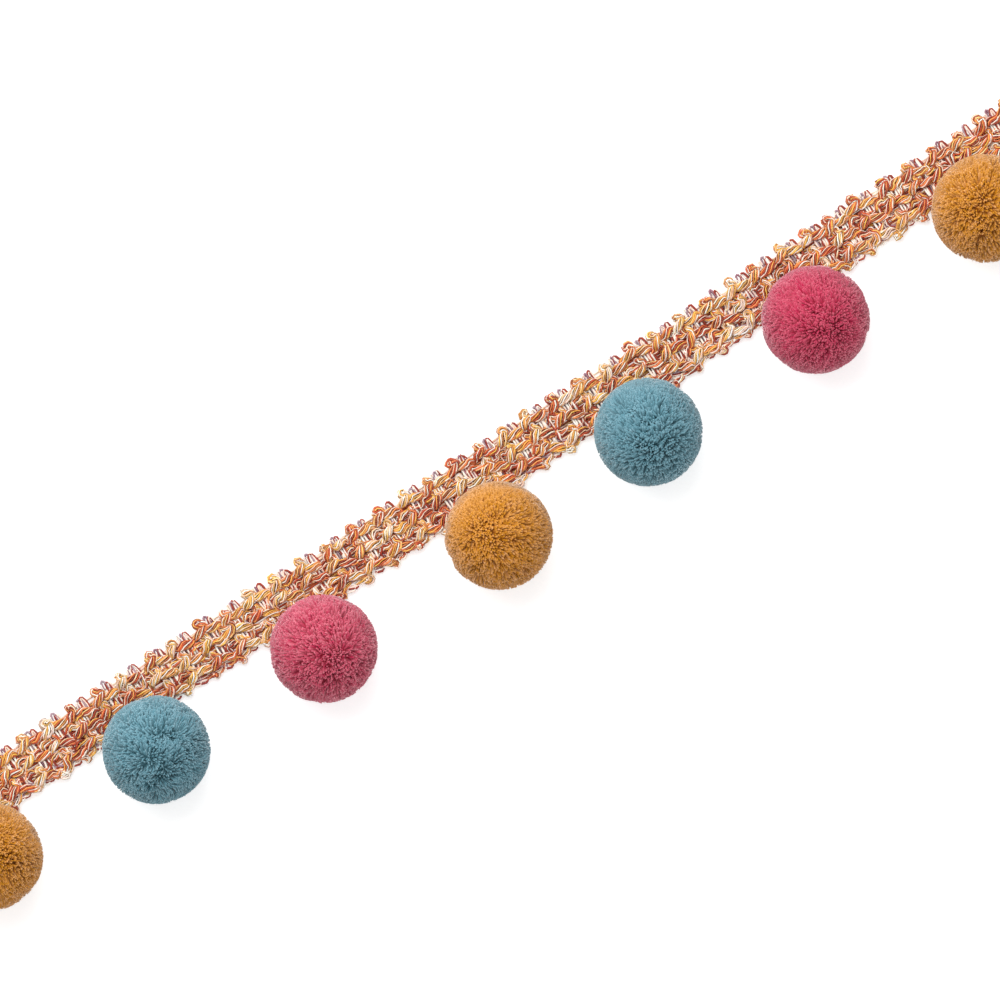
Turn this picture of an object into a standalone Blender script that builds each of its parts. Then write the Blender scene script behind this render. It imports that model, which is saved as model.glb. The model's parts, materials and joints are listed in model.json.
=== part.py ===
"""A cut length of pompom trim, lying flat: a crocheted gimp braid with cut-pile pompoms tied along one edge.

Metres, +Z up. The trim runs along X, the pompoms hang off its -Y edge, and everything rests on Z = 0.
"""

import math

import bmesh
import bpy
from mathutils import Matrix, Vector

# ---- Driving dimensions ----
POMPOM_RADIUS = 0.0100
POMPOM_PITCH = 0.03665  # mean distance from one pompom to the next
POMPOM_SEGMENTS = 28
POMPOM_RINGS = 14
FLAT_RADIUS = 0.0020  # the small flat spot that a ball rests on

# One row for each pompom, from the left: its yarn, how far it sits off its even place along the
# trim, and how far its centre lies below the braid's middle line.
POMPOMS = (
    ("mustard", 0.0, 0.01025),
    ("teal", 0.0001, 0.01045),
    ("pink", -0.0004, 0.01130),
    ("mustard", 0.0015, 0.01115),
    ("teal", -0.0015, 0.01015),
    ("pink", -0.0009, 0.00955),
    ("mustard", 0.0, 0.00970),
)

STITCH_PITCH = 0.00555  # one repeat of the crochet stitch along the braid
STATIONS_PER_STITCH = 4
BRAID_HALF_WIDTH = 0.0049  # to the bottom of the scallops
PICOT_REACH = 0.0010  # how far an edge loop stands out past that
PICOT_UNEVEN = 0.15  # share by which the loops differ in reach
WALE_SPACING = 0.0032  # between the three raised chain rows
WALE_HALF_FLAT = 0.0005
WALE_HEIGHT = 0.0024
VALLEY_HEIGHT = 0.0018
EDGE_HEIGHT = 0.0011
END_SPARE = 0.5 * POMPOM_PITCH  # braid past the centre of each end pompom

BRAID_RISE = 0.0010  # the braid drifts this much towards +Y over its right half
BRAID_WANDER = 0.00012  # and waves this little along the way
WANDER_LENGTH = 0.083
CLEARANCE = 0.00033  # between the pile and the braid's edge under it
CUTTER_DEPTH = 0.001  # how far the cutter reaches below the surface

TRIM_LENGTH = (len(POMPOMS) - 1) * POMPOM_PITCH + 2 * END_SPARE
MIDDLE = (len(POMPOMS) - 1) / 2
SHARP_ANGLE = math.radians(40)

YARNS = {
    "braid": (0.80, 0.42, 0.20, 1.0),
    "mustard": (0.58, 0.30, 0.05, 1.0),
    "teal": (0.16, 0.36, 0.43, 1.0),
    "pink": (0.60, 0.10, 0.22, 1.0),
}


def clear_scene():
    for old in list(bpy.data.objects):
        bpy.data.objects.remove(old, do_unlink=True)


def yarn_material(name):
    """A dull, slightly fuzzy dyed yarn."""
    material = bpy.data.materials.new(name + "_yarn")
    material.use_nodes = True
    shader = material.node_tree.nodes["Principled BSDF"]
    shader.inputs["Base Color"].default_value = YARNS[name]
    shader.inputs["Roughness"].default_value = 0.9
    shader.inputs["Metallic"].default_value = 0.0
    material.diffuse_color = YARNS[name]
    return material


def smoothstep(t):
    t = min(max(t, 0.0), 1.0)
    return t * t * (3 - 2 * t)


def middle_line(x):
    """Y of the braid's middle line, measured from its left end."""
    return BRAID_RISE * smoothstep(2 * x / TRIM_LENGTH) + BRAID_WANDER * math.sin(math.tau * x / WANDER_LENGTH)


def pompom_place(index):
    """X and Y of a pompom's centre, measured from the braid's middle line at its left end."""
    _, slip, drop = POMPOMS[index]
    x = (index - MIDDLE) * POMPOM_PITCH + slip
    return x, middle_line(x) - drop


def picot_reach(x, side):
    """How far the scalloped edge stands out at x; the loops differ a little from stitch to stitch."""
    turns = x / STITCH_PITCH + (0.5 if side > 0 else 0.0)
    unevenness = 1 + PICOT_UNEVEN * math.sin(1.9 * math.floor(turns) + side)
    return PICOT_REACH * unevenness * (0.5 - 0.5 * math.cos(math.tau * turns))


def stitched_section(x):
    """The braid's cross-section at x as (across, height) points: flat below, three rounded wales above."""
    low = -BRAID_HALF_WIDTH - picot_reach(x, -1)
    high = BRAID_HALF_WIDTH + picot_reach(x, 1)
    wales = []
    for wale in (-1, 0, 1):
        centre = wale * WALE_SPACING
        wales += [(centre - WALE_HALF_FLAT, WALE_HEIGHT), (centre + WALE_HALF_FLAT, WALE_HEIGHT)]
        if wale < 1:
            wales.append((centre + WALE_SPACING / 2, VALLEY_HEIGHT))
    return [(low, 0.0), (low, EDGE_HEIGHT), *wales, (high, EDGE_HEIGHT), (high, 0.0)]


def clear_section(_x):
    """The plain envelope of the braid with the clearance added, used to hollow the pile that lies on it."""
    reach = BRAID_HALF_WIDTH + PICOT_REACH * (1 + PICOT_UNEVEN) + CLEARANCE
    shoulder = WALE_SPACING + WALE_HALF_FLAT
    top = WALE_HEIGHT + CLEARANCE
    edge = EDGE_HEIGHT + 2 * CLEARANCE
    return [(-reach, -CUTTER_DEPTH), (-reach, edge), (-shoulder, top), (shoulder, top), (reach, edge),
            (reach, -CUTTER_DEPTH)]


def sweep(name, section_at, places, middle_y):
    """A closed strip whose section is section_at(x) at each x in places, following the middle line."""
    bm = bmesh.new()
    rows = []
    for x in places:
        across = middle_line(x) + middle_y
        rows.append([bm.verts.new((x, across + v, z)) for v, z in section_at(x)])
    for here, there in zip(rows, rows[1:]):
        for i in range(len(here)):
            j = (i + 1) % len(here)
            bm.faces.new((here[i], here[j], there[j], there[i]))
    bm.faces.new(rows[0])
    bm.faces.new(rows[-1])
    bmesh.ops.recalc_face_normals(bm, faces=bm.faces)
    mesh = bpy.data.meshes.new(name)
    bm.to_mesh(mesh)
    bm.free()
    strip = bpy.data.objects.new(name, mesh)
    bpy.context.collection.objects.link(strip)
    return strip


def braid_places():
    """X of the braid's stations: STATIONS_PER_STITCH to each stitch, and the two cut ends."""
    step = STITCH_PITCH / STATIONS_PER_STITCH
    count = math.floor(TRIM_LENGTH / step)
    start = -TRIM_LENGTH / 2
    places = [start + step * i for i in range(count)]
    return [*places, TRIM_LENGTH / 2]


def make_pompom(index, middle_y):
    """A round ball with a small flat spot at Z = 0, its pile hollowed where it lies on the braid's edge."""
    yarn = POMPOMS[index][0]
    x, y = pompom_place(index)
    centre = Vector((x, y + middle_y, math.sqrt(POMPOM_RADIUS**2 - FLAT_RADIUS**2)))
    bm = bmesh.new()
    place = Matrix.Translation(centre)
    bmesh.ops.create_uvsphere(
        bm, u_segments=POMPOM_SEGMENTS, v_segments=POMPOM_RINGS, radius=POMPOM_RADIUS, matrix=place
    )
    parts = [*bm.verts, *bm.edges, *bm.faces]
    cut = bmesh.ops.bisect_plane(bm, geom=parts, plane_co=(0, 0, 0), plane_no=(0, 0, -1), clear_outer=True)
    rim = [e for e in cut["geom_cut"] if isinstance(e, bmesh.types.BMEdge)]
    bmesh.ops.edgeloop_fill(bm, edges=rim)
    bmesh.ops.recalc_face_normals(bm, faces=bm.faces)
    mesh = bpy.data.meshes.new(f"pompom_{index + 1}")
    bm.to_mesh(mesh)
    bm.free()
    mesh.materials.append(bpy.data.materials[yarn + "_yarn"])
    mesh.shade_smooth()
    mesh.set_sharp_from_angle(angle=SHARP_ANGLE)
    ball = bpy.data.objects.new(mesh.name, mesh)
    bpy.context.collection.objects.link(ball)
    return ball


def hollow_pile(ball, cutter):
    """The pile gives way over the braid's edge, keeping the clearance to it."""
    cut = ball.modifiers.new("clear_of_braid", "BOOLEAN")
    cut.operation = "DIFFERENCE"
    cut.solver = "EXACT"
    cut.object = cutter


def middle_of_box():
    """Y to add so that the trim's box is centred on Y = 0: the loops are its top, the pompoms its bottom."""
    top = max(middle_line(x) + BRAID_HALF_WIDTH + picot_reach(x, 1) for x in braid_places())
    bottom = min(pompom_place(i)[1] - POMPOM_RADIUS for i in range(len(POMPOMS)))
    return -(top + bottom) / 2


def main():
    clear_scene()
    for yarn in YARNS:
        yarn_material(yarn)
    middle_y = middle_of_box()

    braid = sweep("braid", stitched_section, braid_places(), middle_y)
    braid.data.materials.append(bpy.data.materials["braid_yarn"])
    braid.data.shade_smooth()
    braid.data.set_sharp_from_angle(angle=SHARP_ANGLE)

    cutter = sweep("braid_clearance", clear_section, braid_places(), middle_y)
    cutter.hide_render = True
    cutter.display_type = "WIRE"

    for index in range(len(POMPOMS)):
        hollow_pile(make_pompom(index, middle_y), cutter)


main()
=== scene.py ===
"""Looks of a length of pompom trim: a crocheted, space-dyed braid with cut-pile pompoms along one edge."""

import json
import math

import bpy
import numpy as np
from bpy.props import FloatProperty, FloatVectorProperty, IntProperty, PointerProperty
from mathutils import Euler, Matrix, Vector


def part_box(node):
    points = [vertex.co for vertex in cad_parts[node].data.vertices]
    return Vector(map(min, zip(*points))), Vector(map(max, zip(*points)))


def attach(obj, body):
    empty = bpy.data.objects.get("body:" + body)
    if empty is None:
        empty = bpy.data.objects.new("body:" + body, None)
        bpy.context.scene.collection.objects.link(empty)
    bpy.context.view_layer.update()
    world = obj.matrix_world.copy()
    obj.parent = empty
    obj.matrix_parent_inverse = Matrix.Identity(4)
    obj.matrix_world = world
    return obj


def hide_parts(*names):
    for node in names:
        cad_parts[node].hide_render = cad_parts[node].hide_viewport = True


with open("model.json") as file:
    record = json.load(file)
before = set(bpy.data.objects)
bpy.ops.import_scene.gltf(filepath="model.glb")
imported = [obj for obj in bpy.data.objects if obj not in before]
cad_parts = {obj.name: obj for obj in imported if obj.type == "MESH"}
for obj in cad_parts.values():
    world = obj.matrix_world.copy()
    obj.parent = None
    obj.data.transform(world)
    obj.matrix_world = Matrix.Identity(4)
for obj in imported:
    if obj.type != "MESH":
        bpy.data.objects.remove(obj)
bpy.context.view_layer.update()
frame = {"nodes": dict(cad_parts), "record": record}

bl_info = {
    "name": "Pompom trim",
    "version": (1, 0, 0),
    "blender": (4, 5, 0),
    "location": "View3D > Sidebar > Trim",
    "description": "Crochets the braid, packs the pompoms' pile and sets the studio",
    "category": "Object",
}

MM = 0.001
BODY = "root"
DYE_MAP = "OFBake"  # the map from which yarn and pile read their dye

# ---- Places taken from the frame ----
BRAID_LOW, BRAID_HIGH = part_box("braid")
TRIM_LENGTH = BRAID_HIGH.x - BRAID_LOW.x
SEWING_BACK = frame["record"]["mounts"][0]["pos_m"]
SLOT_OF = {part["node"]: part["material_slot"] for part in frame["record"]["subparts"]}
POMPOM_NODES = sorted(name for name in frame["nodes"] if name.startswith("pompom_"))

FIRST_STITCH = -0.85 * MM  # the braid is cut here in its first stitch
# The braid's middle line, as its solid follows it.
BRAID_RISE = 1.0 * MM
BRAID_WANDER = 0.12 * MM
WANDER_LENGTH = 83 * MM

# The tables of stitches are in millimetres along the braid, across it and up, in the order in which
# the yarn runs, with how full the bundle of plies is there. A chain stitch is a slanting float, the
# head that curls round above it, and a level float that comes out from behind the slanting one.
SLANTING_FLOAT = (
    # along, across, height, full
    (-0.10, -0.42, 0.82, 0.52),
    (0.72, -0.02, 1.55, 1.02),
    (1.66, 0.46, 1.84, 1.08),
    (2.60, 0.98, 1.50, 0.66),
)
LEVEL_FLOAT = (
    (1.75, 1.00, 0.78, 0.46),
    (2.20, 0.56, 0.80, 0.58),
    (2.90, 0.26, 1.40, 1.02),
    (3.85, -0.04, 1.66, 1.16),
    (4.80, -0.34, 1.60, 1.10),
    (5.36, -0.55, 1.20, 0.76),
)
HEAD_FROM, HEAD_TO = math.radians(-35), math.radians(205)  # how far round the head the yarn goes
HEAD_POINTS = 6
HEAD_TOP, HEAD_END = 1.45, 1.0  # its height where it begins and ends
# The rows from the free edge to the pompoms: their place in row spacings, how long and how steep the
# slanting floats and how steep the level ones are there, and the heads' middle, radius and fullness.
CHAIN_ROWS = (
    # name, place, length, slope, fall, head along, head across, head radius, full
    ("chain_row_upper", 1, 1.06, 0.95, 0.6, 1.85, 1.70, 0.23, 1.02),
    ("chain_row_middle", 0, 1.00, 1.10, 1.0, 1.95, 1.95, 0.46, 0.52),
    ("chain_row_lower", -1.04, 1.05, 1.00, 1.1, 2.00, 1.90, 0.46, 0.52),
)
# The yarn of the scalloped edge, measured from one row spacing below the middle line: a run down to a small
# bobble below each stitch, and a return over a smaller bump to the next.
EDGE_RUN = (
    (2.70, -0.62, 0.55, 0.60),
    (3.65, -0.98, 0.85, 0.82),
    (4.70, -1.32, 1.10, 0.84),
)
EDGE_RETURN = (
    (6.62, -1.50, 1.00, 0.80),
    (7.35, -1.28, 0.80, 0.74),
)
BOBBLE_ALONG, BOBBLE_ACROSS, BOBBLE_RADIUS, BOBBLE_FULL = 5.60, -1.88, 0.26, 1.12
BOBBLE_FROM, BOBBLE_TO = math.radians(120), math.radians(430)
BOBBLE_POINTS = 7
BOBBLE_TOP, BOBBLE_END = 1.30, 0.8
# The ladder threads of a stitch: where each goes up and comes down, how far it passes the upper and the
# lower row, its radius, and its dye and depth.
LADDER_THREADS = (
    # up, down, high reach, low reach, radius, dye, depth
    (3.10, 3.75, 1.85, 1.60, 0.23, 0.02, 0.76),
    (4.35, 4.95, 1.80, 1.40, 0.23, 0.04, 0.74),
    (3.50, 4.45, 2.00, 0.90, 0.24, 0.94, 0.56),
    (4.10, 5.25, 1.88, 1.55, 0.24, 0.74, 0.54),
)
# The shares of the way to its next climb at which a thread turns, at the upper and at the lower edge.
HIGH_TURNS, LOW_TURNS = (0.25, 0.75), (0.66, 0.90)
LADDER_POINTS = 5  # across the rows
LADDER_LOW, LADDER_RISE = 0.62, 0.72  # its height in mm under a row, and how much it rises between two
TURN_HEIGHT = 0.75 * MM
LADDER_STRAY, LADDER_BEND = 0.16, 0.07  # in mm
LADDER_BEND_SHARES = (1, 1, 0.4)  # of the bend, along, across and up
LADDER_DRIFT, LADDER_DRIFT_LENGTH, LADDER_MOTTLE = 0.05, 4 * MM, 0.08
LADDER_DYES = (0.01, 0.97)  # how far down and up the ramp of dyes a thread may drift

# How far the yarn strays. Stitches slide along the braid together, over some stitches.
SLIDE, SLIDE_STITCHES = 0.3 * MM, 2.5
STITCH_STRAY, POINT_STRAY = 0.7, 0.5  # of a stitch and of one point in it, in shares of the unevenness
BEND_SHARES = (1, 1, 0.5)  # of a point's stray, along, across and up
TURN_STRAY = math.radians(7)  # by which a stitch is turned out of line
SIZE_STRAY, FULL_STRAY = 0.045, 0.16
END_CLEAR = 0.3 * MM  # yarn stops this far inside the cut ends
YARN_SIDES, LADDER_SIDES = 3, 4  # of the tubes
# Where the random draws of each piece start. A row, a thread, a lane or a pompom adds its number.
SLIDE_SEED, ROW_SEED, EDGE_SEED, LADDER_SEED, LANE_SEED, FILLING_SEED, PILE_SEED = 5, 11, 23, 31, 41, 61, 100

# One line for each ply of a yarn: its dye and how deep it is, how far it follows the yarn's slow change of
# dye, its own drift, and how thick it is.
YARN_PLIES = (
    # dye, depth, shared, own, thick
    (0.04, 0.66, 0.04, 0.03, 0.86),
    (0.46, 0.60, 0.34, 0.08, 1.02),
    (0.30, 0.78, 0.24, 0.08, 0.98),
    (0.52, 0.43, 0.32, 0.08, 1.00),
    (0.05, 0.66, 0.05, 0.03, 0.86),
    (0.40, 0.66, 0.34, 0.08, 1.02),
    (0.10, 0.64, 0.08, 0.05, 0.86),
    (0.54, 0.38, 0.30, 0.08, 1.00),
    (0.24, 0.74, 0.20, 0.08, 0.96),
    (0.44, 0.54, 0.34, 0.08, 1.02),
)
EDGE_PLIES = YARN_PLIES[:7]
EDGE_WIDTH, EDGE_HEIGHT = 0.8, 0.9  # of the edge yarn, in shares of a chain row's
# The single plies that are laid in lengthwise, side by side, behind the rows.
LANE_PLIES = (
    (0.60, 0.61, 0.08, 0.10, 1.0),
    (0.46, 0.61, 0.10, 0.14, 1.0),
    (0.68, 0.61, 0.06, 0.08, 1.0),
    (0.20, 0.61, 0.08, 0.14, 1.0),
)
PALE_LANE = (0.08, 0.61, 0.05, 0.07, 1.0)
LANES, FIRST_LANE, LANE_SPACING = 18, -4.25 * MM, 0.49 * MM
OUTER_LANES = (0, LANES - 1)
PALE_LANES = (0, LANES - 2, LANES - 1)
LANE_RADIUS, LANE_HEIGHT, LANE_STEP, LANE_END_CLEAR = 0.30 * MM, 0.42 * MM, 1.4 * MM, 0.4 * MM
# How far a lane strays across and up, each over its own length.
LANE_STRAY, OUTER_STRAY, LANE_STRAY_LENGTH = 0.14 * MM, 0.34 * MM, 3.2 * MM
LANE_RISE, LANE_RISE_LENGTH = 0.8 * LANE_STRAY, 2.4 * MM
# The pale yarn that is drawn through between two rows and fills the gap beside each head.
FILLING_STITCH = (
    # along, across, height, full
    (-1.50, -0.62, 0.85, 0.50),
    (-0.70, 0.00, 1.15, 0.95),
    (0.10, 0.22, 1.25, 1.05),
    (0.75, -0.25, 1.05, 0.80),
    (2.20, -0.40, 1.05, 0.60),
    (3.40, -0.66, 1.25, 0.80),
)
FILLING_PLIES = (
    (0.05, 0.68, 0.05, 0.04, 0.8),
    (0.28, 0.72, 0.20, 0.10, 1.1),
    (0.62, 0.52, 0.22, 0.10, 1.1),
    (0.07, 0.68, 0.05, 0.04, 0.8),
    (0.48, 0.60, 0.28, 0.10, 1.1),
    (0.12, 0.66, 0.08, 0.05, 0.9),
    (0.64, 0.48, 0.20, 0.10, 1.1),
)
FILLING_PLACES = (0.52, -0.52)  # in row spacings
FILLING_WIDTH, FILLING_HEIGHT, FILLING_RADIUS = 1.1 * MM, 0.5 * MM, 0.19 * MM
FILLING_REST = 0.18 * MM  # its plies' middles stay this far, and the floor's clearance, above Z = 0

# The lengths over which all dyes change together, one ply's dye drifts, and its depth mottles.
SHARED_LENGTH, OWN_LENGTH, DEPTH_LENGTH = 6.0 * MM, 1.2 * MM, 0.8 * MM
# Where the yarn is drawn in, more of it lies hidden in the stitch: its dyes change faster by this there.
DRAWN_IN, HIDDEN_LENGTH = 0.78, 13
DRAWN_FLAT, DRAWN_THIN = 0.5, 0.25  # shares of a bundle's height and a ply's radius that follow fullness
PALEST_DYE, DARKEST_DYE = 0.01, 0.71  # how far down and up the ramp of dyes a ply may drift
PLY_WOBBLE, WOBBLE_LENGTH = 0.09 * MM, 1.1 * MM
SLUB, SLUB_LENGTH = 0.30, 1.5 * MM  # by how much of its radius a ply swells and thins along the way
# The dive term is painted light and shade: a ply is lighter where it rides on top of its bundle and darker
# where it dives under the other plies.
DEPTH_SPREAD, DIVE_SHADE, MOTTLE_DEPTH = 0.06, 0.12, 0.28
SPIRAL_DEPTH, SPIRAL_RINGS = 0.14, 2.4  # the shading that twists each ply, and its turn in rings
# No face may be without width on the dye map: neighbours there lie at least this far apart.
MAP_STEP, RING_STEP, END_STEP = 0.012, 0.004, 0.01
LEAST_FACING = 0.15  # the least cosine between a corner's normal and its face

# The pile of each pompom fans out from a point this far off its middle in mm, along and across the braid. Its
# tufts differ from each other by the shag, a share of the usual. By the opened share there is more shag away
# from the braid and less beside it. The tint is their mean one.
PILES = {
    # along, across, shag, opened, tint
    "pompom_1": (0.6, 1.2, 1.0, 0.2, 0.50),
    "pompom_2": (-0.5, -1.0, 1.25, 0.3, 0.49),
    "pompom_3": (0.5, -1.9, 1.05, 0.1, 0.64),
    "pompom_4": (-2.0, 2.2, 0.85, 0.7, 0.51),
    "pompom_5": (-0.6, -2.1, 0.9, 0.1, 0.46),
    "pompom_6": (0.4, -1.7, 0.65, 0.0, 0.42),
    "pompom_7": (-0.4, 1.0, 1.0, 0.2, 0.50),
}
PILE_CLEAR = 2.5 * MM  # the height at which pile rests on the braid
BRAID_REACH = 6.2 * MM  # from the braid's middle line to where the pile is free of it
FLOOR_CLEAR = 0.02 * MM
PILE_PROUD = 1.008  # the pile's radius in radii of its solid
PLACE_STRAY = 0.30  # of a tuft, in its distance from the next
HOLLOW_SIZE, CLUMP_SIZE, LUMP_SIZE, WAVES = 0.5, 0.15, 0.6, 26  # sizes in ball radii
TUFT_SPREAD, TINT_SPREAD = 0.2, 0.2
SHAG_LEAN, SHAG_THIN = 0.6, 0.4  # the share of a tuft's lean that follows shag, and how much shag thins it
TUFT_ROUND = 0.6  # how far a tuft's normals turn from the ball's to its own
# A tuft's place on the map runs from its root, in the painted shade deep in the pile, to its tip in the
# yarn's colour.
TUFT_ROOT, TUFT_TIP = 0.06, 0.92  # on the map
TUFT_TINTS = (0.03, 0.94)  # the least and the most
HAIR_LEAN, HAIR_RADIUS, HAIR_DEPTH, HAIR_ROUND = 0.35 * MM, 0.045 * MM, 0.8 * MM, 0.4
HAIR_PROUD = (-0.05, 0.28)  # in mm past the pile
# A hair's foot lies a little way into the painted shade of the pile, and its tip near the yarn's colour.
HAIR_ROOT, HAIR_TIP, HAIR_STEP = 0.70, 0.97, 0.02  # on the map
HAIR_TINT, HAIR_TINTS = 0.6, (0.03, 0.95)  # the mean one, and the least and the most
HEART_CLEAR = 0.1 * MM  # how deep the tufts' roots are set in the heart
# The heart lies at the dark end of the map, in the painted shade colour of the roots.
HEART_CORNERS = ((0.45, 0.02), (0.50, 0.02), (0.50, 0.05))  # a face of the heart on the map

# ---- The studio ----
SENSOR_WIDTH = 36.0  # in mm, as the lens
FLOOR_RADIUS, FLOOR_CORNERS = 8, 64
PAPER_GRAIN, GRAIN_DEPTH = MM / 0.9, 0.1 * MM
FLOOR_GLOW = 0.50  # the light table under the paper, which softens the shadows
# The softbox stands across the braid from the pompoms, this far off, this wide and this high.
KEY_SIDE, KEY_RISE = Vector((0.09, 1, 0)), math.radians(48)
KEY_DISTANCE, KEY_SIZE = 0.9, 0.9


def linear(code):
    """An sRGB hex colour as linear red, green and blue."""
    parts = [int(code[i : i + 2], 16) / 255 for i in (1, 3, 5)]
    return tuple(c / 12.92 if c <= 0.04045 else ((c + 0.055) / 1.055) ** 2.4 for c in parts)


def colour_property(name, description, code):
    return FloatVectorProperty(
        name=name, description=description, subtype="COLOR", size=3, min=0, max=1, default=linear(code)
    )


def length_property(name, description, default):
    return FloatProperty(name=name, description=description, default=default, unit="LENGTH", precision=5)


class TRIM_PG_braid(bpy.types.PropertyGroup):
    """Sizes and dyes of the crocheted braid."""

    stitches: IntProperty(name="Stitches", description="Stitches along the braid", default=46, min=1)
    row_spacing: length_property("Row spacing", "Between the chain rows", 3.12 * MM)
    ply_radius: length_property("Ply radius", "Radius of one ply", 0.19 * MM)
    bundle_width: length_property("Yarn width", "Between the outer plies' middles", 1.22 * MM)
    bundle_height: length_property("Yarn height", "Between the top and bottom plies' middles", 0.6 * MM)
    twist_length: length_property("Twist", "Length of one turn of the plies", 7.6 * MM)
    unevenness: length_property("Unevenness", "How far a stitch strays", 0.34 * MM)
    cream: colour_property("Cream", "Undyed stretches", "#fee9e0")
    blush: colour_property("Blush", "Where the dye fades out", "#f2ccb6")
    amber: colour_property("Amber", "Yellow dye", "#e4af4c")
    orange: colour_property("Orange", "Orange dye", "#d6834c")
    rust: colour_property("Rust", "Red-brown dye", "#bf5028")
    brick: colour_property("Brick", "Darkest dye", "#98362a")
    lilac: colour_property("Lilac", "Grey-violet thread", "#b79fa8")
    mauve: colour_property("Mauve", "Dark violet thread", "#8e5062")


class TRIM_PG_pompoms(bpy.types.PropertyGroup):
    """Sizes and dyes of the pompoms."""

    tufts: IntProperty(name="Tufts", description="Cut yarn ends on a pompom", default=8900, min=100)
    hairs: IntProperty(name="Loose hairs", description="Fine fibres that stand out", default=2600, min=0)
    tuft_length: length_property("Pile depth", "Length of a tuft", 2.4 * MM)
    root_radius: length_property("Root radius", "Radius of a tuft's root", 0.34 * MM)
    tip_radius: length_property("Tip radius", "Radius of a tuft's blunt tip", 0.17 * MM)
    trim_uneven: length_property("Trimming", "How unevenly single tufts are cut", 0.30 * MM)
    lumps: length_property("Lumps", "Depth of the hollows between the lumps of pile", 0.34 * MM)
    lean: length_property("Lean", "How far tips lean in their small clumps", 0.36 * MM)
    sweep: length_property("Sweep", "How far whole lumps of pile lean", 0.42 * MM)
    heart_radius: length_property("Heart", "Radius of the dense heart", 8.4 * MM)
    # Each yarn's second colour is painted shade: darker and deeper than the yarn, it stands in for the shade
    # deep in the pile between the tufts.
    mustard: colour_property("Mustard", "Mustard yarn", "#d08a22")
    mustard_root: colour_property("Mustard painted shade", "Mustard yarn, deep in the pile", "#aa6511")
    teal: colour_property("Teal", "Teal yarn", "#6c9ba9")
    teal_root: colour_property("Teal painted shade", "Teal yarn, deep in the pile", "#3d6974")
    pink: colour_property("Pink", "Pink yarn", "#c84461")
    pink_root: colour_property("Pink painted shade", "Pink yarn, deep in the pile", "#af2441")


class TRIM_PG_stage(bpy.types.PropertyGroup):
    """The camera, the lights and the floor."""

    view_width: length_property("View width", "Width that the camera sees", 185.2 * MM)
    view_x: length_property("Aim X", "What the camera looks at", 5.25 * MM)
    view_y: length_property("Aim Y", "What the camera looks at", 1.48 * MM)
    aim_height: length_property("Aim height", "Height at which the view has that width", 6 * MM)
    roll: FloatProperty(
        name="Roll",
        description="Turn of the camera about the plumb line",
        default=math.radians(-32.6),
        subtype="ANGLE",
    )
    lens: FloatProperty(name="Lens", description="Focal length", default=600, unit="CAMERA")
    key_power: FloatProperty(
        name="Key", description="Power of the main softbox", default=7.4, subtype="POWER"
    )
    sky: FloatProperty(name="Sky", description="Strength of the light from all round", default=0.86)
    floor: colour_property("Floor", "Pale paper sweep", "#d4d4d4")


# ---- Small tools ----


def add_node(tree, kind, settings=(), **links):
    """Adds a node, sets its attributes or inputs, and links sockets into inputs (spaces as underscores)."""
    node = tree.nodes.new(kind)
    for name, value in dict(settings).items():
        if name in node.inputs:
            node.inputs[name].default_value = value
        else:
            setattr(node, name, value)
    for name, socket in links.items():
        tree.links.new(socket, node.inputs[name.replace("_", " ")])
    return node


def new_material(name):
    material = bpy.data.materials.new(name)
    material.use_nodes = True
    return material, material.node_tree, material.node_tree.nodes["Principled BSDF"]


def unit(vectors):
    return vectors / np.maximum(np.linalg.norm(vectors, axis=-1, keepdims=True), 1e-9)


def middle_line(x):
    """Y of the braid's middle line."""
    t = np.clip(2 * x / TRIM_LENGTH, 0, 1)
    rise = BRAID_RISE * t * t * (3 - 2 * t)
    return SEWING_BACK[1] + rise + BRAID_WANDER * np.sin(math.tau * x / WANDER_LENGTH)


def soft_noise(rng, places, scale):
    """Smooth values from -1 to 1 at the places, which change over the scale."""
    low = places.min() - scale
    marks = rng.uniform(-1, 1, int(np.ptp(places) / scale) + 4)
    at = (places - low) / scale
    before = at.astype(int)
    f = at - before
    f = f * f * (3 - 2 * f)
    return marks[before] * (1 - f) + marks[before + 1] * f


def smooth_curve(points, steps):
    """A curve through the points, with steps samples to a span. Every column is carried along."""
    points = np.vstack([2 * points[0] - points[1], points, 2 * points[-1] - points[-2]])
    a, b, c, d = (p[:, None] for p in (points[:-3], points[1:-2], points[2:-1], points[3:]))
    t = (np.arange(steps) / steps)[None, :, None]
    curve = 0.5 * (2 * b + (c - a) * t + (2 * a - 5 * b + 4 * c - d) * t**2 + (3 * b - a - 3 * c + d) * t**3)
    return np.vstack([curve.reshape(-1, points.shape[1]), points[-2]])


def axes_across(paths):
    """Unit vectors level across the paths, and up from them, for paths of shape (n, m, 3)."""
    ahead = unit(np.gradient(paths, axis=1))
    across = unit(np.cross(ahead, (0.0, 0.0, 1.0)))
    return across, np.cross(across, ahead)


def run_within_ends(path):
    """The longest unbroken run of the path that lies between the braid's cut ends."""
    outside = (path[:, 0] < BRAID_LOW.x + END_CLEAR) | (path[:, 0] > BRAID_HIGH.x - END_CLEAR)
    breaks = np.concatenate([[-1], np.flatnonzero(outside), [len(path)]])
    longest = np.argmax(np.diff(breaks))
    return path[breaks[longest] + 1 : breaks[longest + 1]]


def distance_along(line):
    return np.concatenate([[0], np.cumsum(np.linalg.norm(np.diff(line, axis=0), axis=1))])


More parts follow.
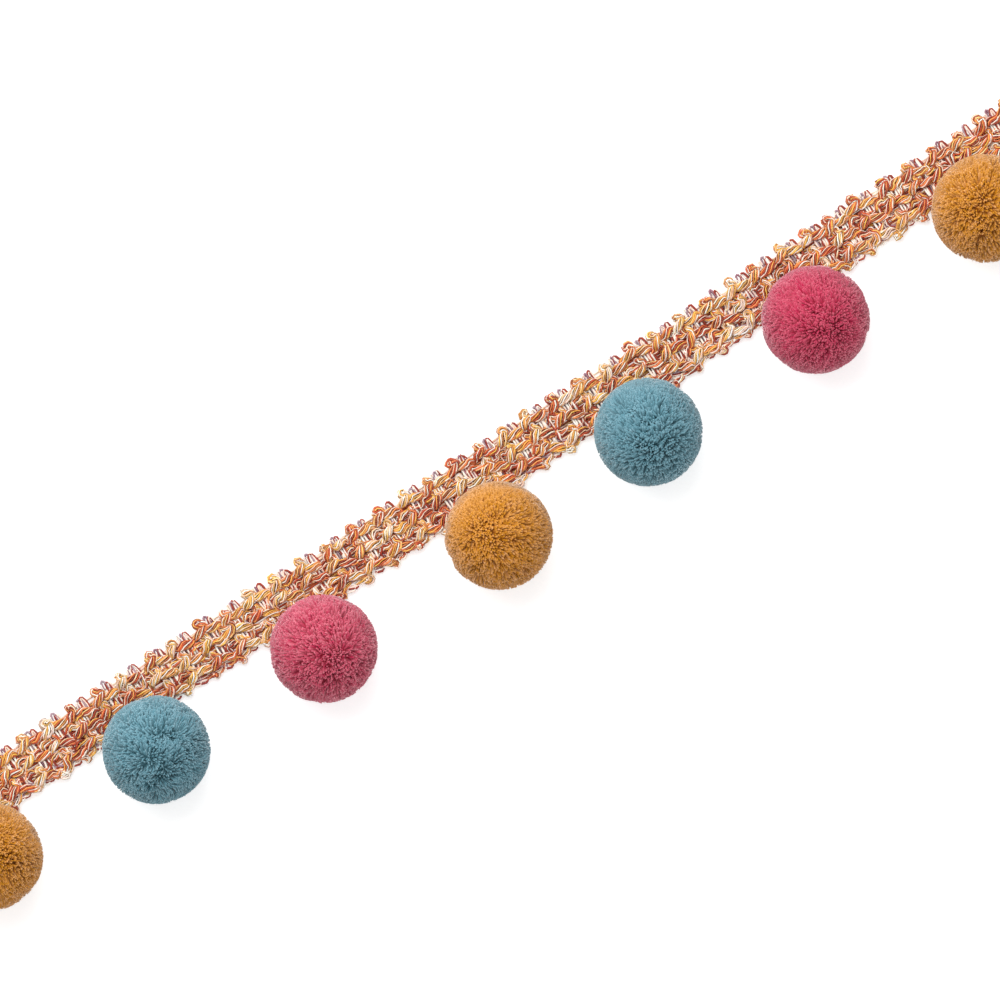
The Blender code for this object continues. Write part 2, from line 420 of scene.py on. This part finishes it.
class Strands:
    """Vertices with their normals, and faces with their places on the dye map, which become one mesh."""

    def __init__(self):
        self.places, self.normals, self.faces, self.dyes, self.count = [], [], [], [], 0

    def add_places(self, places, normals):
        """Returns the number of the first vertex."""
        self.places.append(places.reshape(-1, 3))
        self.normals.append(normals.reshape(-1, 3))
        first = self.count
        self.count += len(self.places[-1])
        return first

    def add_faces(self, faces, dyes):
        """faces are rows of vertex numbers, and dyes the map's place of each of their corners."""
        self.faces += faces.tolist()
        self.dyes.append(dyes.reshape(-1, 2))

    def make(self, name, material):
        """The mesh object, which lies on Z = 0. A normal that points against its own face is turned to it."""
        mesh = bpy.data.meshes.new(name)
        places = np.vstack(self.places)
        places[:, 2] = np.maximum(places[:, 2], 0)
        mesh.from_pydata(places, [], self.faces)
        mesh.shade_smooth()
        dye_map = mesh.uv_layers.new(name=DYE_MAP)
        dye_map.uv.foreach_set("vector", np.vstack(self.dyes).astype(np.float32).ravel())
        corners = np.concatenate([np.array(face) for face in self.faces])
        flat = np.repeat(np.array([p.normal for p in mesh.polygons]), [len(f) for f in self.faces], 0)
        normals = np.vstack(self.normals)[corners]
        against = np.maximum(0, LEAST_FACING - (normals * flat).sum(1, keepdims=True))
        mesh.normals_split_custom_set(unit(normals + against * flat))
        mesh.materials.append(material)
        piece = bpy.data.objects.new(name, mesh)
        bpy.context.collection.objects.link(piece)
        return piece


def add_tubes(strands, paths, radii, sides, dye, shade):
    """Adds a closed round tube along each path: paths (n, m, 3), radii, dye and shade (n, m)."""
    n, m, _ = paths.shape
    across, up = axes_across(paths)
    turn = math.tau * np.arange(sides) / sides
    out = np.cos(turn)[:, None] * across[:, :, None] + np.sin(turn)[:, None] * up[:, :, None]
    first = strands.add_places(paths[:, :, None] + radii[:, :, None, None] * out, out)
    vertex = first + np.arange(n * m * sides).reshape(n, m, sides)
    beside = np.roll(vertex, -1, axis=2)
    quads = np.stack([vertex[:, :-1], vertex[:, 1:], beside[:, 1:], beside[:, :-1]], -1).reshape(-1, 4)
    # Light and shade wind round a tube as the twist of its strands does. Rings swing a little from side to
    # side on the map, so that no face is without width there.
    spiral = np.sin(math.tau * (np.arange(m)[:, None] / SPIRAL_RINGS + np.arange(sides + 1) / sides))
    swing = np.broadcast_to(dye[:, :, None] + RING_STEP * (np.arange(m) % 2)[:, None], (n, m, sides + 1))
    tone = shade[:, :, None] + SPIRAL_DEPTH * spiral + MAP_STEP * np.arange(sides + 1)
    place = np.stack([swing, tone], -1)
    corners = [place[:, :-1, :-1], place[:, 1:, :-1], place[:, 1:, 1:], place[:, :-1, 1:]]
    strands.add_faces(quads, np.stack(corners, -2))
    ring = END_STEP * np.stack([np.cos(turn), np.sin(turn)], -1)
    for end, order in ((0, slice(None)), (-1, slice(None, None, -1))):
        strands.add_faces(vertex[:, end, order], (place[:, end, :1] + ring)[:, order])


# ---- Materials ----


def dyed_yarn():
    """Space-dyed acrylic yarn: dull, with a soft sheen.

    The map's U runs through the dyes, and V through their depth, with painted light and shade laid over it.
    """
    dyes = bpy.context.scene.trim_braid
    material, tree, shader = new_material("space_dyed_acrylic_yarn")
    place = add_node(tree, "ShaderNodeUVMap", {"uv_map": DYE_MAP})
    parts = add_node(tree, "ShaderNodeSeparateXYZ", Vector=place.outputs["UV"])
    ramp = add_node(tree, "ShaderNodeValToRGB", Fac=parts.outputs["X"])
    stops = (
        (0.00, dyes.cream),
        (0.12, dyes.blush),
        (0.28, dyes.amber),
        (0.46, dyes.orange),
        (0.62, dyes.rust),
        (0.78, dyes.brick),
        (0.90, dyes.lilac),
        (1.00, dyes.mauve),
    )
    elements = ramp.color_ramp.elements
    while len(elements) < len(stops):
        elements.new(1.0)
    for element, (at, colour) in zip(elements, stops):
        element.position = at
        element.color = (*colour, 1.0)
    value = add_node(tree, "ShaderNodeMapRange", {"To Min": 0.25, "To Max": 1.5}, Value=parts.outputs["Y"])
    multiply = {"blend_type": "MULTIPLY", "use_clamp": True, "Fac": 1.0}
    tone = add_node(
        tree, "ShaderNodeMixRGB", multiply, Color1=ramp.outputs["Color"], Color2=value.outputs["Result"]
    )
    tree.links.new(tone.outputs["Color"], shader.inputs["Base Color"])
    shader.inputs["Roughness"].default_value = 0.45
    shader.inputs["Specular IOR Level"].default_value = 0.3
    shader.inputs["Sheen Weight"].default_value = 0.12
    shader.inputs["Sheen Roughness"].default_value = 0.5
    return material


def cut_pile(slot, tip, root):
    """Cut acrylic pile: matt and velvety, with painted shade deep in its gaps.

    The map's V runs from a tuft's root, in the painted shade colour, to its tip, and U is the tuft's own
    tint.
    """
    material, tree, shader = new_material(slot + "_cut_acrylic")
    place = add_node(tree, "ShaderNodeUVMap", {"uv_map": DYE_MAP})
    parts = add_node(tree, "ShaderNodeSeparateXYZ", Vector=place.outputs["UV"])
    # Painted shade: the ramp runs from the dark colour deep in the pile to the yarn's colour at the tips.
    ramp = add_node(tree, "ShaderNodeValToRGB", Fac=parts.outputs["Y"])
    ramp.color_ramp.elements[0].color = (*root, 1.0)
    ramp.color_ramp.elements[1].color = (*tip, 1.0)
    value = add_node(tree, "ShaderNodeMapRange", {"To Min": 0.80, "To Max": 1.22}, Value=parts.outputs["X"])
    pale = add_node(tree, "ShaderNodeMapRange", {"To Min": 1.12, "To Max": 0.84}, Value=parts.outputs["X"])
    tone = add_node(
        tree,
        "ShaderNodeHueSaturation",
        Color=ramp.outputs["Color"],
        Value=value.outputs["Result"],
        Saturation=pale.outputs["Result"],
    )
    tree.links.new(tone.outputs["Color"], shader.inputs["Base Color"])
    shader.inputs["Roughness"].default_value = 0.9
    shader.inputs["Specular IOR Level"].default_value = 0.2
    shader.inputs["Sheen Weight"].default_value = 0.55
    shader.inputs["Sheen Roughness"].default_value = 0.5
    return material


def paper_white(colour):
    """Matt paper, laid flat and lit from below: pale and without gloss, its grain hardly to be seen."""
    material, tree, shader = new_material("matt_paper")
    place = add_node(tree, "ShaderNodeTexCoord")
    fibres = {"Scale": 1 / PAPER_GRAIN, "Detail": 2.0}
    grain = add_node(tree, "ShaderNodeTexNoise", fibres, Vector=place.outputs["Object"])
    tooth = {"Strength": 0.05, "Distance": GRAIN_DEPTH}
    bump = add_node(tree, "ShaderNodeBump", tooth, Height=grain.outputs["Fac"])
    tree.links.new(bump.outputs["Normal"], shader.inputs["Normal"])
    shader.inputs["Base Color"].default_value = (*colour, 1.0)
    shader.inputs["Roughness"].default_value = 0.9
    shader.inputs["Emission Color"].default_value = (1.0, 1.0, 1.0, 1.0)
    shader.inputs["Emission Strength"].default_value = FLOOR_GLOW
    return material


# ---- The braid ----


def loop_points(middle, radius, full, turn, height, points):
    """Control points round a loop: turn is its first and last angle, and height its first and last height."""
    angle = np.linspace(*turn, points)
    return np.stack(
        [
            middle[0] + radius * np.cos(angle),
            middle[1] + radius * np.sin(angle),
            np.linspace(*height, points),
            np.full(points, full),
        ],
        1,
    )


def chain_stitch(length, slope, fall, head_along, head_across, head_radius, head_full):
    """One chain stitch with its head: a slanting float, the head and a level float."""
    slant = np.array(SLANTING_FLOAT) * (length, slope, 1, 1)
    level = np.array(LEVEL_FLOAT) * (1, fall, 1, 1)
    head = loop_points(
        (head_along, head_across),
        head_radius,
        head_full,
        (HEAD_FROM, HEAD_TO),
        (HEAD_TOP, HEAD_END),
        HEAD_POINTS,
    )
    return np.vstack([slant, head, level])


def edge_stitch():
    """One scallop of the edge yarn: the run down, the bobble, and the return."""
    bobble = loop_points(
        (BOBBLE_ALONG, BOBBLE_ACROSS),
        BOBBLE_RADIUS,
        BOBBLE_FULL,
        (BOBBLE_FROM, BOBBLE_TO),
        (BOBBLE_TOP, BOBBLE_END),
        BOBBLE_POINTS,
    )
    return np.vstack([EDGE_RUN, bobble, EDGE_RETURN])


def stitch_strays(braid):
    """How far each stitch has slid along the braid, alike in every row."""
    rng = np.random.default_rng(SLIDE_SEED)
    return FIRST_STITCH + SLIDE * soft_noise(rng, np.arange(braid.stitches + 1) * 1.0, SLIDE_STITCHES)


def stitch_path(rng, braid, stitch, offset):
    """Control points of a yarn that repeats a stitch along the braid: x, y and z in metres, and fullness."""
    pitch = TRIM_LENGTH / braid.stitches
    table = np.array(stitch)
    middle = table[:, :2].mean(0)
    strays = stitch_strays(braid)
    rows = []
    for number in range(braid.stitches + 1):
        stray = rng.normal(0, STITCH_STRAY, 2) * braid.unevenness
        bend = rng.normal(0, POINT_STRAY, (len(table), 3)) * braid.unevenness * BEND_SHARES
        sin = math.sin(rng.normal(0, TURN_STRAY))  # so small a turn that its cosine is taken as 1
        turned = (table[:, :2] - middle) @ np.array([[1, sin], [-sin, 1]])
        flat = middle + turned * rng.normal(1, SIZE_STRAY, 2)
        along = BRAID_LOW.x + number * pitch + strays[number] + stray[0] + flat[:, 0] * MM + bend[:, 0]
        across = offset + stray[1] + flat[:, 1] * MM + bend[:, 1]
        full = table[:, 3] * rng.uniform(1 - FULL_STRAY, 1 + FULL_STRAY)
        rows.append(np.stack([along, across, table[:, 2] * MM + bend[:, 2], full], 1))
    path = np.vstack(rows)
    path[:, 1] += middle_line(path[:, 0])
    return run_within_ends(path)


def ply_paths(rng, braid, path, plies, width, height, radius):
    """The plies of a softly twisted bundle along a control path, the way along the yarn, and its fullness."""
    curve = smooth_curve(path, 2)
    line, full = curve[:, :3], curve[:, 3]
    across, up = (axes[0] for axes in axes_across(line[None]))
    way = distance_along(line)
    share = np.arange(plies)[:, None] / plies
    turn = rng.uniform(0, math.tau) + math.tau * (share + way / braid.twist_length)
    wide = np.cos(turn) * full * width / 2
    high = np.sin(turn) * (1 - DRAWN_FLAT + DRAWN_FLAT * full) * height / 2
    wide += PLY_WOBBLE * np.array([soft_noise(rng, way, WOBBLE_LENGTH) for _ in range(plies)])
    high += PLY_WOBBLE * np.array([soft_noise(rng, way, WOBBLE_LENGTH) for _ in range(plies)])
    paths = line + wide[:, :, None] * across + high[:, :, None] * up
    paths[:, :, 2] = np.maximum(paths[:, :, 2], radius + FLOOR_CLEAR)
    hidden = 1 + HIDDEN_LENGTH * np.maximum(0, DRAWN_IN - full)
    return paths, np.cumsum(np.gradient(way) * hidden), full, np.sin(turn)


def dye_plies(rng, way, plies):
    """The dye of each ply along a bundle: all shift together slowly, and each drifts a little by itself."""
    shared = soft_noise(rng, way, SHARED_LENGTH)
    dyes = [
        dye + follow * shared + own * soft_noise(rng, way, OWN_LENGTH) for dye, _, follow, own, _ in plies
    ]
    return np.clip(dyes, PALEST_DYE, DARKEST_DYE)


def ply_radii(rng, radius, way, full, plies):
    """The radius of each ply along a bundle: thinner where the yarn is drawn in, and a little slubby."""
    thick = np.array([ply[4] for ply in plies])[:, None]
    slubs = 1 + SLUB * np.array([soft_noise(rng, way, SLUB_LENGTH) for _ in plies])
    return radius * (1 - DRAWN_THIN + DRAWN_THIN * full) * thick * slubs


def shade_plies(rng, way, lift, plies):
    """How deep the dye of each ply is: a little off its usual and mottled, with painted light where it rides
    high in the bundle and painted shade where it dives.
    """
    level = np.array([[ply[1]] for ply in plies]) + DEPTH_SPREAD * rng.uniform(-1, 1, (len(plies), 1))
    mottle = np.array([soft_noise(rng, way, DEPTH_LENGTH) for _ in plies])
    return level + DIVE_SHADE * lift + MOTTLE_DEPTH * mottle


def dress(piece, node):
    """The piece stands for its CAD node, which it hides, and rides with the body."""
    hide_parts(node)
    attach(piece, BODY)


class TRIM_OT_chain_rows(bpy.types.Operator):
    """Crochet the three chain rows with their heads"""

    bl_idname = "trim.chain_rows"
    bl_label = "Chain rows"

    def execute(self, context):
        braid = context.scene.trim_braid
        material = dyed_yarn()
        plies = len(YARN_PLIES)
        for number, (name, place, *head) in enumerate(CHAIN_ROWS):
            rng = np.random.default_rng(ROW_SEED + number)
            path = stitch_path(rng, braid, chain_stitch(*head), place * braid.row_spacing)
            paths, way, full, lift = ply_paths(
                rng, braid, path, plies, braid.bundle_width, braid.bundle_height, braid.ply_radius
            )
            radii = ply_radii(rng, braid.ply_radius, way, full, YARN_PLIES)
            strands = Strands()
            dyes = dye_plies(rng, way, YARN_PLIES)
            shade = shade_plies(rng, way, lift, YARN_PLIES)
            add_tubes(strands, paths, radii, YARN_SIDES, dyes, shade)
            dress(strands.make(name, material), "braid")
        return {"FINISHED"}


class TRIM_OT_edge_loops(bpy.types.Operator):
    """Crochet the scalloped lower edge with its small bobbles"""

    bl_idname = "trim.edge_loops"
    bl_label = "Edge loops"

    def execute(self, context):
        braid = context.scene.trim_braid
        rng = np.random.default_rng(EDGE_SEED)
        path = stitch_path(rng, braid, edge_stitch(), -braid.row_spacing)
        plies = len(EDGE_PLIES)
        width, height = braid.bundle_width * EDGE_WIDTH, braid.bundle_height * EDGE_HEIGHT
        paths, way, full, lift = ply_paths(rng, braid, path, plies, width, height, braid.ply_radius)
        radii = ply_radii(rng, braid.ply_radius, way, full, EDGE_PLIES)
        strands = Strands()
        dyes = dye_plies(rng, way, EDGE_PLIES)
        shade = shade_plies(rng, way, lift, EDGE_PLIES)
        add_tubes(strands, paths, radii, YARN_SIDES, dyes, shade)
        dress(strands.make("edge_loops", bpy.data.materials["space_dyed_acrylic_yarn"]), "braid")
        return {"FINISHED"}


def ladder_path(rng, braid, up, down, high, low):
    """A thread that climbs across all rows at one place of each stitch, and comes down at another."""
    pitch = TRIM_LENGTH / braid.stitches
    strays = stitch_strays(braid)
    rows = []
    for stitch in range(braid.stitches + 1):
        start = BRAID_LOW.x + stitch * pitch + strays[stitch]
        top, foot = braid.row_spacing + (np.array([high, low]) + rng.normal(0, LADDER_STRAY, 2)) * MM
        up_x, down_x = start + np.array([up, down]) * MM + rng.normal(0, LADDER_STRAY * MM, 2)
        for x, next_x, first, last, places in (
            (up_x, down_x, -foot, top, HIGH_TURNS),
            (down_x, up_x + pitch, top, -foot, LOW_TURNS),
        ):
            climb = np.linspace(first, last, LADDER_POINTS + 2)[1:-1]
            between = np.maximum(0, -np.cos(math.tau * climb / braid.row_spacing))
            height = (LADDER_LOW + LADDER_RISE * between) * MM
            rows.append(np.stack([np.full(len(climb), x), climb, height], 1))
            turn_x = x + np.array(places) * (next_x - x)
            rows.append(np.stack([turn_x, np.full(2, last), np.full(2, TURN_HEIGHT)], 1))
    path = np.vstack(rows)
    path += rng.normal(0, LADDER_BEND * MM, path.shape) * LADDER_BEND_SHARES
    path[:, 1] += middle_line(path[:, 0])
    return smooth_curve(run_within_ends(path), 2)


class TRIM_OT_ladder(bpy.types.Operator):
    """Lay the fine threads that cross the rows and turn at both edges"""

    bl_idname = "trim.ladder"
    bl_label = "Ladder threads"

    def execute(self, context):
        braid = context.scene.trim_braid
        strands = Strands()
        for number, (up, down, high, low, radius, dye, depth) in enumerate(LADDER_THREADS):
            rng = np.random.default_rng(LADDER_SEED + number)
            path = ladder_path(rng, braid, up, down, high, low)
            way = distance_along(path)
            drift = LADDER_DRIFT * soft_noise(rng, way, LADDER_DRIFT_LENGTH)
            dyes = np.clip(dye + drift, *LADDER_DYES)[None]
            shade = depth + LADDER_MOTTLE * soft_noise(rng, way, DEPTH_LENGTH)[None]
            radii = np.full(dyes.shape, radius * MM)
            add_tubes(strands, path[None], radii, LADDER_SIDES, dyes, shade)
        dress(strands.make("ladder_threads", bpy.data.materials["space_dyed_acrylic_yarn"]), "braid")
        return {"FINISHED"}


class TRIM_OT_laid_yarns(bpy.types.Operator):
    """Lay the plies that run lengthwise behind the rows, and the yarns that fill the gaps between them"""

    bl_idname = "trim.laid_yarns"
    bl_label = "Laid-in yarns"

    def execute(self, context):
        braid = context.scene.trim_braid
        strands = Strands()
        along = np.arange(BRAID_LOW.x + LANE_END_CLEAR, BRAID_HIGH.x - LANE_END_CLEAR, LANE_STEP)
        for number in range(LANES):
            rng = np.random.default_rng(LANE_SEED + number)
            place = FIRST_LANE + number * LANE_SPACING
            stray = OUTER_STRAY if number in OUTER_LANES else LANE_STRAY
            across = place + stray * soft_noise(rng, along, LANE_STRAY_LENGTH) + middle_line(along)
            height = LANE_HEIGHT + LANE_RISE * soft_noise(rng, along, LANE_RISE_LENGTH)
            path = np.stack([along, across, height], 1)[None]
            ply = PALE_LANE if number in PALE_LANES else LANE_PLIES[number % len(LANE_PLIES)]
            dyes = dye_plies(rng, along, (ply,))
            shade = shade_plies(rng, along, 0, (ply,))
            add_tubes(strands, path, np.full(dyes.shape, LANE_RADIUS), YARN_SIDES, dyes, shade)
        plies = len(FILLING_PLIES)
        for number, place in enumerate(FILLING_PLACES):
            rng = np.random.default_rng(FILLING_SEED + number)
            path = stitch_path(rng, braid, FILLING_STITCH, place * braid.row_spacing)
            paths, way, full, lift = ply_paths(
                rng, braid, path, plies, FILLING_WIDTH, FILLING_HEIGHT, FILLING_REST
            )
            radii = ply_radii(rng, FILLING_RADIUS, way, full, FILLING_PLIES)
            shade = shade_plies(rng, way, lift, FILLING_PLIES)
            add_tubes(strands, paths, radii, YARN_SIDES, dye_plies(rng, way, FILLING_PLIES), shade)
        dress(strands.make("laid_yarns", bpy.data.materials["space_dyed_acrylic_yarn"]), "braid")
        return {"FINISHED"}


# ---- The pompoms ----


def even_directions(rng, count):
    """Directions spread evenly over a sphere, each a little off its place."""
    number = np.arange(count) + 0.5
    z = 1 - 2 * number / count
    turn = math.pi * (1 + 5**0.5) * number
    level = np.sqrt(1 - z * z)
    out = np.stack([level * np.cos(turn), level * np.sin(turn), z], 1)
    return unit(out + rng.normal(0, PLACE_STRAY * math.sqrt(4 * math.pi / count), out.shape))


def ripples(rng, out, wavelength, columns):
    """Smooth random values for each direction, about 1 deep, with the wavelength in ball radii."""
    total = np.zeros((len(out), columns))
    for _ in range(WAVES):
        wave = unit(rng.normal(0, 1, 3)) * math.tau / wavelength
        total += np.sin(out @ wave + rng.uniform(0, math.tau))[:, None] * rng.normal(0, 1, columns)
    return total / math.sqrt(WAVES / 2)


def tuft_shape(pompoms):
    """One cut tuft: a three-sided blunt spike of unit length along +Z, with its faces."""
    bpy.ops.object.select_all(action="DESELECT")
    bpy.ops.mesh.primitive_cone_add(
        vertices=3, radius1=pompoms.root_radius, radius2=pompoms.tip_radius, depth=1.0, location=(0, 0, 0.5)
    )
    spike = bpy.context.object
    bpy.ops.object.transform_apply()
    places = np.array([v.co for v in spike.data.vertices])
    faces = [list(f.vertices) for f in spike.data.polygons]
    bpy.data.objects.remove(spike)
    return places, faces


def keep_clear(tips, centre):
    """Shortens each tip that would pass the floor or the braid under it."""
    low = np.where(tips[:, 1] > middle_line(tips[:, 0]) - BRAID_REACH, PILE_CLEAR, FLOOR_CLEAR)
    down = np.maximum(centre[2] - tips[:, 2], 1e-9)
    share = np.where(tips[:, 2] < low, (centre[2] - low) / down, 1.0)
    return centre + (tips - centre) * share[:, None]


def within_ball(places, centre, radius):
    out = places - centre
    return centre + out * np.minimum(1, radius / np.linalg.norm(out, axis=1, keepdims=True))


def add_tufts(strands, rng, pompoms, tuft, pile, centre, radius):
    """Adds the tufts, which fan out from a point off the ball's middle and gather in clumps and lumps."""
    shape, faces = tuft
    fan_along, fan_across, shag, opened, tint = pile
    out = even_directions(rng, pompoms.tufts)
    shag = shag * (1 - opened * out[:, 1])
    cut = rng.uniform(0, 1, pompoms.tufts) ** 2 * pompoms.trim_uneven * shag
    hollow = np.maximum(0, ripples(rng, out, HOLLOW_SIZE, 1)[:, 0]) * pompoms.lumps
    push = ripples(rng, out, CLUMP_SIZE, 3) * pompoms.lean + ripples(rng, out, LUMP_SIZE, 3) * pompoms.sweep
    push *= (1 - SHAG_LEAN + SHAG_LEAN * shag)[:, None]
    push -= (push * out).sum(1, keepdims=True) * out
    stand = centre + out * radius
    ray = unit(stand - (centre + np.array([fan_along, fan_across, 0.0]) * MM))
    roots = within_ball(stand - ray * pompoms.tuft_length, centre, pompoms.heart_radius - HEART_CLEAR)
    tips = centre + out * (radius - cut - hollow)[:, None] + push
    tips = keep_clear(within_ball(tips, centre, radius), centre)
    along = tips - roots
    ray = unit(along)
    across = unit(np.cross(ray, rng.normal(0, 1, ray.shape)))
    beside = np.cross(ray, across)
    size = rng.uniform(1 - TUFT_SPREAD, 1 + TUFT_SPREAD, (pompoms.tufts, 1, 1))
    size *= (1 + SHAG_THIN - SHAG_THIN * shag)[:, None, None]
    round_way = shape[None, :, :1] * across[:, None] + shape[None, :, 1:2] * beside[:, None]
    places = roots[:, None] + size * round_way + shape[None, :, 2:] * along[:, None]
    turned = TUFT_ROUND * shag[:, None, None] * unit(round_way)
    first = strands.add_places(places, unit(turned + out[:, None]))
    tints = np.clip(rng.normal(tint, TINT_SPREAD * shag, pompoms.tufts), *TUFT_TINTS)[:, None]
    start = first + np.arange(pompoms.tufts)[:, None] * len(shape)
    # Painted shade: each tuft darkens from its tip down to its root.
    for face in faces:
        step = np.arange(len(face)) * MAP_STEP
        height = TUFT_ROOT + (TUFT_TIP - TUFT_ROOT) * shape[face, 2] + (step if len(face) == 3 else 0)
        dyes = np.stack(np.broadcast_arrays(tints + step[None], height[None]), -1)
        strands.add_faces(start + np.array(face)[None], dyes)


def add_hairs(strands, rng, pompoms, centre, radius):
    """Adds fine loose fibres, each a thin closed spike, that soften the outline."""
    out = even_directions(rng, pompoms.hairs)
    lean = rng.normal(0, HAIR_LEAN, out.shape)
    lean -= (lean * out).sum(1, keepdims=True) * out
    roots = centre + out * (radius - HAIR_DEPTH)
    tips = centre + out * (radius + rng.uniform(*HAIR_PROUD, (len(out), 1)) * MM) + lean
    tips = keep_clear(tips, centre)
    across = unit(np.cross(out, rng.normal(0, 1, out.shape)))
    beside = np.cross(out, across)
    turn = math.tau * np.arange(3) / 3
    ring = np.cos(turn)[:, None] * across[:, None] + np.sin(turn)[:, None] * beside[:, None]
    places = np.concatenate([roots[:, None] + HAIR_RADIUS * ring, tips[:, None]], 1)
    turned = HAIR_ROUND * np.concatenate([ring, 0 * tips[:, None]], 1)
    first = strands.add_places(places, unit(turned + out[:, None]))
    start = first + np.arange(len(out))[:, None] * places.shape[1]
    tints = np.clip(rng.normal(HAIR_TINT, TINT_SPREAD, len(out)), *HAIR_TINTS)[:, None]
    spread = HAIR_STEP * np.array([[0, 1, 0.5]])
    side = (HAIR_ROOT, HAIR_ROOT + HAIR_STEP, HAIR_TIP)
    foot = (HAIR_ROOT - 2 * HAIR_STEP, HAIR_ROOT, HAIR_ROOT - HAIR_STEP)
    for face, heights in (((0, 1, 3), side), ((1, 2, 3), side), ((2, 0, 3), side), ((0, 2, 1), foot)):
        dyes = np.stack(np.broadcast_arrays(tints + spread, np.array([heights])), -1)
        strands.add_faces(start + np.array(face), dyes)


def add_heart(strands, pompoms, centre):
    """Adds the dense heart that closes the view between the tufts, coloured in the painted shade of the
    roots.
    """
    bpy.ops.object.select_all(action="DESELECT")
    bpy.ops.mesh.primitive_ico_sphere_add(subdivisions=3, radius=pompoms.heart_radius, location=centre)
    heart = bpy.context.object
    bpy.ops.object.transform_apply()
    places = np.array([v.co for v in heart.data.vertices])
    faces = np.array([f.vertices for f in heart.data.polygons])
    bpy.data.objects.remove(heart)
    first = strands.add_places(keep_clear(places, centre), unit(places - centre))
    strands.add_faces(faces + first, np.broadcast_to(HEART_CORNERS, (len(faces), 3, 2)))


class TRIM_OT_pompoms(bpy.types.Operator):
    """Pack each pompom's pile of cut tufts round its heart"""

    bl_idname = "trim.pompoms"
    bl_label = "Pompoms"

    def execute(self, context):
        pompoms = context.scene.trim_pompoms
        tuft = tuft_shape(pompoms)
        materials = {}
        for number, node in enumerate(POMPOM_NODES):
            slot = SLOT_OF[node]
            yarn = slot.split("_")[0]
            if slot not in materials:
                # The yarn's colour at the tips, and the painted shade colour deep in the pile.
                materials[slot] = cut_pile(slot, getattr(pompoms, yarn), getattr(pompoms, yarn + "_root"))
            rng = np.random.default_rng(PILE_SEED + number)
            low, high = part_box(node)
            radius = (high.x - low.x) / 2 * PILE_PROUD
            centre = np.array([(low.x + high.x) / 2, (low.y + high.y) / 2, high.z - (high.x - low.x) / 2])
            strands = Strands()
            add_tufts(strands, rng, pompoms, tuft, PILES[node], centre, radius)
            add_hairs(strands, rng, pompoms, centre, radius)
            add_heart(strands, pompoms, centre)
            piece = strands.make(node + "_pile", materials[slot])
            dress(piece, node)
        return {"FINISHED"}


# ---- The studio ----


class TRIM_OT_stage(bpy.types.Operator):
    """Lay the paper floor, and place the camera overhead and the softbox"""

    bl_idname = "trim.stage"
    bl_label = "Studio"

    def execute(self, context):
        stage = context.scene.trim_stage
        bpy.ops.object.select_all(action="DESELECT")
        bpy.ops.mesh.primitive_circle_add(
            vertices=FLOOR_CORNERS, radius=FLOOR_RADIUS, fill_type="NGON", location=(0, 0, 0)
        )
        floor = bpy.context.object
        floor.name = "paper_floor"
        floor.data.materials.append(paper_white(stage.floor))

        aim = Vector((stage.view_x, stage.view_y, stage.aim_height))
        above = Vector((0, 0, stage.view_width * stage.lens / SENSOR_WIDTH))
        bpy.ops.object.camera_add(location=aim + above, rotation=Euler((0, 0, stage.roll)))
        camera = bpy.context.object
        camera.data.lens = stage.lens
        camera.data.sensor_width = SENSOR_WIDTH
        context.scene.camera = camera

        back = KEY_SIDE.normalized() * math.cos(KEY_RISE) + Vector((0, 0, math.sin(KEY_RISE)))
        bpy.ops.object.light_add(
            type="AREA", location=aim + back * KEY_DISTANCE, rotation=back.to_track_quat("Z", "Y").to_euler()
        )
        key = bpy.context.object
        key.name = "key_softbox"
        key.data.shape = "SQUARE"
        key.data.size = KEY_SIZE
        key.data.energy = stage.key_power
        key.visible_camera = False

        world = bpy.data.worlds.new("soft_sky")
        world.use_nodes = True
        world.node_tree.nodes["Background"].inputs["Color"].default_value = (1, 1, 1, 1)
        world.node_tree.nodes["Background"].inputs["Strength"].default_value = stage.sky
        context.scene.world = world
        context.scene.view_settings.view_transform = "Standard"
        return {"FINISHED"}


class TRIM_PT_panel(bpy.types.Panel):
    """Lists the trim's operators and sizes"""

    bl_idname = "TRIM_PT_panel"
    bl_label = "Pompom trim"
    bl_space_type = "VIEW_3D"
    bl_region_type = "UI"
    bl_category = "Trim"

    def draw(self, context):
        for operator in OPERATORS:
            self.layout.operator(operator.bl_idname)
        for name in SETTINGS:
            settings = getattr(context.scene, name)
            box = self.layout.box()
            for key in settings.bl_rna.properties.keys():
                if key not in ("rna_type", "name"):
                    box.prop(settings, key)


OPERATORS = (
    TRIM_OT_chain_rows,
    TRIM_OT_edge_loops,
    TRIM_OT_ladder,
    TRIM_OT_laid_yarns,
    TRIM_OT_pompoms,
    TRIM_OT_stage,
)
SETTINGS = {"trim_braid": TRIM_PG_braid, "trim_pompoms": TRIM_PG_pompoms, "trim_stage": TRIM_PG_stage}


def register():
    for made in (*SETTINGS.values(), *OPERATORS, TRIM_PT_panel):
        bpy.utils.register_class(made)
    for name, group in SETTINGS.items():
        setattr(bpy.types.Scene, name, PointerProperty(type=group))


def unregister():
    for name in SETTINGS:
        delattr(bpy.types.Scene, name)
    for made in (TRIM_PT_panel, *OPERATORS, *SETTINGS.values()):
        bpy.utils.unregister_class(made)


def main():
    register()
    bpy.ops.trim.chain_rows()
    bpy.ops.trim.edge_loops()
    bpy.ops.trim.ladder()
    bpy.ops.trim.laid_yarns()
    bpy.ops.trim.pompoms()
    bpy.ops.trim.stage()


if __name__ == "__main__":
    main()
